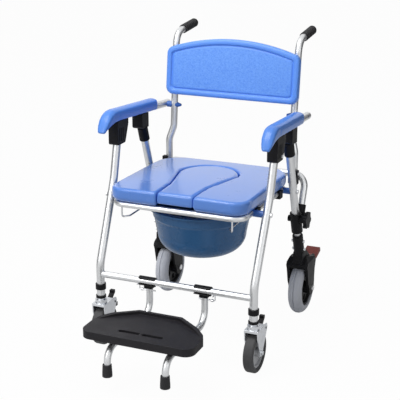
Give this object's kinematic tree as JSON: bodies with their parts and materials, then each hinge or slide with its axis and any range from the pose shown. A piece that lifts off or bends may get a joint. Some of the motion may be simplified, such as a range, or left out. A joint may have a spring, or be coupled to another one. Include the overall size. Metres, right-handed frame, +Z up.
{
  "type": "shower commode chair",
  "caption": "Wheeled shower commode chair with aluminium frame, padded seat with lift-out insert, flip-up armrests, sliding pail, swing-up footrest and braked wheels.",
  "frame": {"origin": "on the floor below the middle of the bounding box", "axes": "+X to the sitter's left side as seen from the front (the viewer's right), +Y towards the back, +Z up"},
  "size_m": [0.571, 0.9113, 0.9309],
  "materials": {
    "aluminium_tube": "satin anodised",
    "black_plastic": "fine moulded",
    "blue_plastic": "smooth moulded",
    "steel_fastener": "zinc plated",
    "blue_board": "pebbled blow moulding",
    "black_rubber": "matt",
    "steel_wire": "bright plated",
    "blue_seat": "moulded foam skin",
    "blue_armpad": "moulded foam skin",
    "black_plate": "textured moulded",
    "pail_plastic": "smooth moulded",
    "zinc_fork": "bright zinc",
    "dark_tyre": "matt",
    "grey_hub": "moulded",
    "grey_tyre": "matt",
    "black_hub": "moulded",
    "red_pedal": "moulded"
  },
  "bodies": {
    "frame": {"front_legs": "aluminium_tube", "front_cross_tube": "aluminium_tube", "rear_legs": "aluminium_tube", "rear_u_tube": "aluminium_tube", "rear_clamps": "black_plastic", "seat_frame": "aluminium_tube", "frame_spacers": "blue_plastic", "frame_bolts": "steel_fastener", "back_posts": "aluminium_tube", "backrest_panel": "blue_board", "hand_grips": "black_rubber", "leg_collars": "black_plastic", "frame_brackets": "black_plastic", "pail_rails": "steel_wire", "seat_pad": "blue_seat", "arm_pivots": "blue_plastic"},
    "footrest": {"footrest_saddles": "black_plastic", "footrest_tubes": "aluminium_tube", "footplate": "black_plate", "foot_tips": "black_rubber"},
    "pail": {"pail": "pail_plastic"},
    "seat_insert": {"seat_insert": "blue_seat"},
    "armrest_l": {"arm_tube_l": "aluminium_tube", "arm_pad_l": "blue_armpad", "latch_housing_l": "black_plastic", "arm_socket_l": "black_plastic"},
    "latch_button_l": {"latch_button_l": "steel_fastener"},
    "front_sleeve_l": {"front_sleeve_l": "aluminium_tube", "caster_ring_l": "black_plastic"},
    "caster_l": {"caster_fork_l": "zinc_fork"},
    "caster_brake_l": {"caster_pedal_l": "black_plastic"},
    "caster_wheel_l": {"caster_tyre_l": "dark_tyre", "caster_hub_l": "grey_hub"},
    "rear_strut_l": {"rear_inner_tube_l": "aluminium_tube", "rear_fork_l": "black_plastic", "rear_bolts_l": "steel_fastener"},
    "rear_brake_l": {"rear_pedal_l": "red_pedal"},
    "rear_wheel_l": {"rear_tyre_l": "grey_tyre", "rear_hub_l": "black_hub"},
    "clamp_knob_l": {"clamp_knob_l": "black_plastic"},
    "lock_pin_l": {"lock_pin_l": "steel_wire"},
    "armrest_r": {"arm_tube_r": "aluminium_tube", "arm_pad_r": "blue_armpad", "latch_housing_r": "black_plastic", "arm_socket_r": "black_plastic"},
    "latch_button_r": {"latch_button_r": "steel_fastener"},
    "front_sleeve_r": {"front_sleeve_r": "aluminium_tube", "caster_ring_r": "black_plastic"},
    "caster_r": {"caster_fork_r": "zinc_fork"},
    "caster_brake_r": {"caster_pedal_r": "black_plastic"},
    "caster_wheel_r": {"caster_tyre_r": "dark_tyre", "caster_hub_r": "grey_hub"},
    "rear_strut_r": {"rear_inner_tube_r": "aluminium_tube", "rear_fork_r": "black_plastic", "rear_bolts_r": "steel_fastener"},
    "rear_brake_r": {"rear_pedal_r": "red_pedal"},
    "rear_wheel_r": {"rear_tyre_r": "grey_tyre", "rear_hub_r": "black_hub"},
    "clamp_knob_r": {"clamp_knob_r": "black_plastic"},
    "lock_pin_r": {"lock_pin_r": "steel_wire"}
  },
  "joints": [
    {"name": "armrest_flip_l", "type": "hinge", "parent": "frame", "child": "armrest_l", "pos_m": [-0.243, 0.28725, 0.671], "axis": [-1, 0, 0], "range_deg": [0, 95]},
    {"name": "latch_press_l", "type": "slide", "parent": "armrest_l", "child": "latch_button_l", "axis": [1, 0, 0], "range_m": [0, 0.003], "stiffness_N_per_m": 400, "springref_m": -0.003},
    {"name": "front_height_l", "type": "slide", "parent": "frame", "child": "front_sleeve_l", "axis": [0, 0, -1], "range_m": [0, 0.04]},
    {"name": "caster_swivel_l", "type": "hinge", "parent": "front_sleeve_l", "child": "caster_l", "pos_m": [-0.249, -0.17275, 0.16], "axis": [0, 0, 1], "continuous": true},
    {"name": "caster_brake_press_l", "type": "hinge", "parent": "caster_l", "child": "caster_brake_l", "pos_m": [-0.249, -0.12275, 0.128], "axis": [-1, 0, 0], "range_deg": [0, 12]},
    {"name": "caster_roll_l", "type": "hinge", "parent": "caster_l", "child": "caster_wheel_l", "pos_m": [-0.249, -0.15875, 0.0625], "axis": [1, 0, 0], "continuous": true},
    {"name": "rear_height_l", "type": "slide", "parent": "frame", "child": "rear_strut_l", "axis": [0, 0.3322, -0.9432], "range_m": [0, 0.05]},
    {"name": "rear_brake_press_l", "type": "hinge", "parent": "rear_strut_l", "child": "rear_brake_l", "pos_m": [-0.239, 0.35725, 0.182], "axis": [-1, 0, 0], "range_deg": [0, 15]},
    {"name": "rear_roll_l", "type": "hinge", "parent": "rear_strut_l", "child": "rear_wheel_l", "pos_m": [-0.239, 0.31425, 0.089], "axis": [1, 0, 0], "continuous": true},
    {"name": "clamp_turn_l", "type": "hinge", "parent": "frame", "child": "clamp_knob_l", "pos_m": [-0.279, 0.21893, 0.35526], "axis": [1, 0, 0], "continuous": true},
    {"name": "lock_pin_pull_l", "type": "slide", "parent": "footrest", "child": "lock_pin_l", "axis": [-1, 0, 0], "range_m": [0, 0.035]},
    {"name": "armrest_flip_r", "type": "hinge", "parent": "frame", "child": "armrest_r", "pos_m": [0.243, 0.28725, 0.671], "axis": [-1, 0, 0], "range_deg": [0, 95]},
    {"name": "latch_press_r", "type": "slide", "parent": "armrest_r", "child": "latch_button_r", "axis": [-1, 0, 0], "range_m": [0, 0.003], "stiffness_N_per_m": 400, "springref_m": -0.003},
    {"name": "front_height_r", "type": "slide", "parent": "frame", "child": "front_sleeve_r", "axis": [0, 0, -1], "range_m": [0, 0.04]},
    {"name": "caster_swivel_r", "type": "hinge", "parent": "front_sleeve_r", "child": "caster_r", "pos_m": [0.249, -0.17275, 0.16], "axis": [0, 0, 1], "continuous": true},
    {"name": "caster_brake_press_r", "type": "hinge", "parent": "caster_r", "child": "caster_brake_r", "pos_m": [0.249, -0.12275, 0.128], "axis": [-1, 0, 0], "range_deg": [0, 12]},
    {"name": "caster_roll_r", "type": "hinge", "parent": "caster_r", "child": "caster_wheel_r", "pos_m": [0.249, -0.15875, 0.0625], "axis": [1, 0, 0], "continuous": true},
    {"name": "rear_height_r", "type": "slide", "parent": "frame", "child": "rear_strut_r", "axis": [0, 0.3322, -0.9432], "range_m": [0, 0.05]},
    {"name": "rear_brake_press_r", "type": "hinge", "parent": "rear_strut_r", "child": "rear_brake_r", "pos_m": [0.239, 0.35725, 0.182], "axis": [-1, 0, 0], "range_deg": [0, 15]},
    {"name": "rear_roll_r", "type": "hinge", "parent": "rear_strut_r", "child": "rear_wheel_r", "pos_m": [0.239, 0.31425, 0.089], "axis": [1, 0, 0], "continuous": true},
    {"name": "clamp_turn_r", "type": "hinge", "parent": "frame", "child": "clamp_knob_r", "pos_m": [0.279, 0.21893, 0.35526], "axis": [1, 0, 0], "continuous": true},
    {"name": "lock_pin_pull_r", "type": "slide", "parent": "footrest", "child": "lock_pin_r", "axis": [1, 0, 0], "range_m": [0, 0.035]},
    {"name": "footrest_swing", "type": "hinge", "parent": "frame", "child": "footrest", "pos_m": [0, -0.17275, 0.236], "axis": [-1, 0, 0], "range_deg": [0, 90]},
    {"name": "pail_slide", "type": "slide", "parent": "frame", "child": "pail", "axis": [0, 1, 0], "range_m": [0, 0.4]},
    {"name": "insert_lift", "type": "slide", "parent": "frame", "child": "seat_insert", "axis": [0, 0.0262, 0.9997], "range_m": [0, 0.12]}
  ]
}
